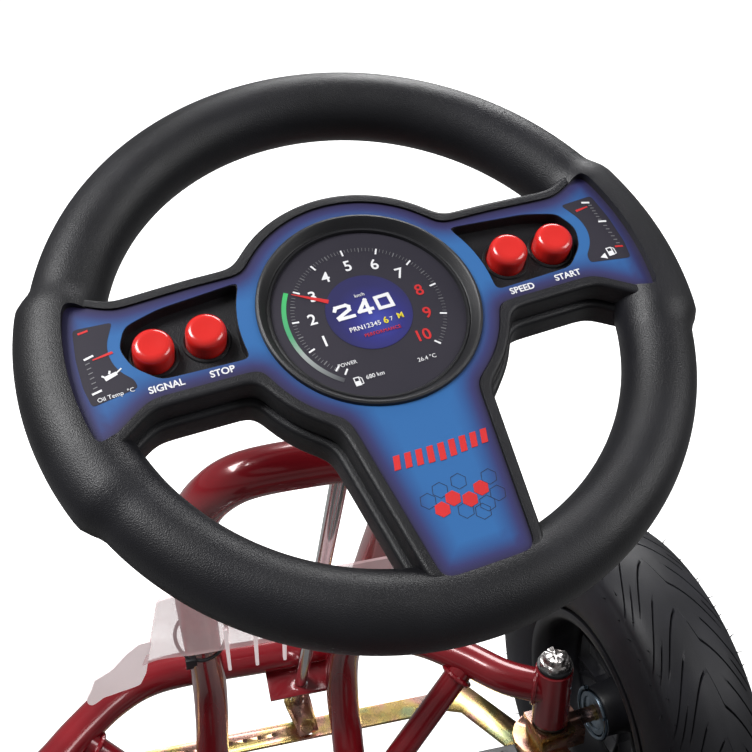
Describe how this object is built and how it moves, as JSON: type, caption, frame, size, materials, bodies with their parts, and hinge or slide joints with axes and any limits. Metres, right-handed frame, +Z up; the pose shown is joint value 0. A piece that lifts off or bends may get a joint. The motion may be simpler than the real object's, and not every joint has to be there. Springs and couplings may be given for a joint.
{
  "type": "pedal kart chassis",
  "caption": "Tubular pedal kart chassis with steering wheel, steered front wheels, crank, pedals and chain-driven rear axle.",
  "frame": {"origin": "on the ground under the middle of the bounding box", "axes": "+X the driver's right, +Y forward, +Z up"},
  "size_m": [0.6556, 1.0092, 0.7145],
  "materials": {
    "frame_red": "gloss red powder coat",
    "grained_black": "moulded, fine leather-like grain",
    "gloss_black": "smooth gloss",
    "button_red": "smooth gloss",
    "bright_rod": "bright drawn",
    "yellow_zinc": "iridescent yellow zinc plate",
    "plain_steel": "zinc plated",
    "tyre_rubber": "matt tread rubber",
    "bearing_steel": "blue-grey shine",
    "frosted_sheet": "frosted translucent",
    "black_nylon": "moulded nylon"
  },
  "bodies": {
    "chassis": {"steering_hoop": "frame_red", "column_bush": "black_nylon", "front_beam": "frame_red", "diagonal_brace_right": "frame_red", "diagonal_brace_left": "frame_red", "frame_rail_right": "frame_red", "frame_rail_left": "frame_red", "cross_tube_front": "frame_red", "cross_tube_rear": "frame_red", "centre_spine": "frame_red", "seat_bracket": "frame_red", "kingpin_bush_right": "black_nylon", "kingpin_bush_left": "black_nylon", "front_panel": "frosted_sheet", "column_foot": "frame_red", "chain": "plain_steel", "chain_guard": "gloss_black", "axle_bracket_right": "frame_red", "axle_bracket_left": "frame_red", "axle_bearing_right": "plain_steel", "axle_bearing_left": "plain_steel"},
    "steering": {"wheel_upper_shell": "grained_black", "wheel_lower_shell": "grained_black", "sound_board": "plain_steel", "dial_bezel": "grained_black", "dial_face": "gloss_black", "steering_shaft": "bright_rod", "pitman_lever": "yellow_zinc"},
    "knuckle_right": {"knuckle_right": "yellow_zinc", "kingpin_right": "plain_steel", "kingpin_nut_right": "bright_rod", "tie_pin_right": "plain_steel", "stub_nut_right": "bright_rod"},
    "knuckle_left": {"knuckle_left": "yellow_zinc", "kingpin_left": "plain_steel", "kingpin_nut_left": "bright_rod", "tie_pin_left": "plain_steel", "stub_nut_left": "bright_rod"},
    "front_wheel_right": {"front_tyre_right": "tyre_rubber", "front_rim_right": "gloss_black", "hub_bearing_right": "bearing_steel"},
    "front_wheel_left": {"front_tyre_left": "tyre_rubber", "front_rim_left": "gloss_black", "hub_bearing_left": "bearing_steel"},
    "tie_bar": {"tie_bar": "yellow_zinc"},
    "crank": {"crank": "bright_rod", "chainring": "plain_steel"},
    "pedal_right": {"pedal_right": "black_nylon"},
    "pedal_left": {"pedal_left": "black_nylon"},
    "rear_axle": {"rear_axle": "plain_steel", "rear_sprocket": "plain_steel", "rear_tyre_right": "tyre_rubber", "rear_tyre_left": "tyre_rubber", "rear_rim_right": "gloss_black", "rear_rim_left": "gloss_black"},
    "button_right_outer": {"button_right_outer": "button_red"},
    "button_right_inner": {"button_right_inner": "button_red"},
    "button_left_outer": {"button_left_outer": "button_red"},
    "button_left_inner": {"button_left_inner": "button_red"}
  },
  "joints": [
    {"name": "steering_turn", "type": "hinge", "parent": "chassis", "child": "steering", "pos_m": [0.021, 0.17, 0.639], "axis": [0, -0.4695, 0.8829], "range_deg": [-43, 25]},
    {"name": "kingpin_right_turn", "type": "hinge", "parent": "chassis", "child": "knuckle_right", "pos_m": [0.207, 0.345, 0.19], "axis": [0, 0, 1], "range_deg": [-32.25, 18.75]},
    {"name": "front_wheel_right_roll", "type": "hinge", "parent": "knuckle_right", "child": "front_wheel_right", "pos_m": [0.27254, 0.35276, 0.1524], "axis": [0.9931, 0.1175, 0], "continuous": true},
    {"name": "kingpin_left_turn", "type": "hinge", "parent": "chassis", "child": "knuckle_left", "pos_m": [-0.207, 0.345, 0.19], "axis": [0, 0, 1], "range_deg": [-32.25, 18.75]},
    {"name": "front_wheel_left_roll", "type": "hinge", "parent": "knuckle_left", "child": "front_wheel_left", "pos_m": [-0.27254, 0.33724, 0.1524], "axis": [0.9931, 0.1175, 0], "continuous": true},
    {"name": "tie_bar_pivot", "type": "hinge", "parent": "knuckle_left", "child": "tie_bar", "pos_m": [-0.20324, 0.31322, 0.122], "axis": [0, 0, 1], "range_deg": [-18.75, 32.25]},
    {"name": "rear_axle_roll", "type": "hinge", "parent": "chassis", "child": "rear_axle", "pos_m": [0, -0.3522, 0.1524], "axis": [1, 0, 0], "continuous": true},
    {"name": "crank_turn", "type": "hinge", "parent": "chassis", "child": "crank", "pos_m": [0, 0.165, 0.19], "axis": [1, 0, 0], "continuous": true},
    {"name": "pedal_right_turn", "type": "hinge", "parent": "crank", "child": "pedal_right", "pos_m": [0.12, 0.265, 0.19], "axis": [1, 0, 0], "continuous": true},
    {"name": "pedal_left_turn", "type": "hinge", "parent": "crank", "child": "pedal_left", "pos_m": [-0.12, 0.065, 0.19], "axis": [1, 0, 0], "continuous": true},
    {"name": "button_right_outer_press", "type": "slide", "parent": "steering", "child": "button_right_outer", "axis": [0, 0.4695, -0.8829], "range_m": [0, 0.003], "stiffness_N_per_m": 300},
    {"name": "button_right_inner_press", "type": "slide", "parent": "steering", "child": "button_right_inner", "axis": [0, 0.4695, -0.8829], "range_m": [0, 0.003], "stiffness_N_per_m": 300},
    {"name": "button_left_outer_press", "type": "slide", "parent": "steering", "child": "button_left_outer", "axis": [0, 0.4695, -0.8829], "range_m": [0, 0.003], "stiffness_N_per_m": 300},
    {"name": "button_left_inner_press", "type": "slide", "parent": "steering", "child": "button_left_inner", "axis": [0, 0.4695, -0.8829], "range_m": [0, 0.003], "stiffness_N_per_m": 300}
  ],
  "couplings": [
    {"joint": "kingpin_right_turn", "follows": "steering_turn", "ratio": 0.75},
    {"joint": "kingpin_left_turn", "follows": "steering_turn", "ratio": 0.75},
    {"joint": "tie_bar_pivot", "follows": "steering_turn", "ratio": -0.75},
    {"joint": "crank_turn", "follows": "rear_axle_roll", "ratio": 0.5}
  ]
}
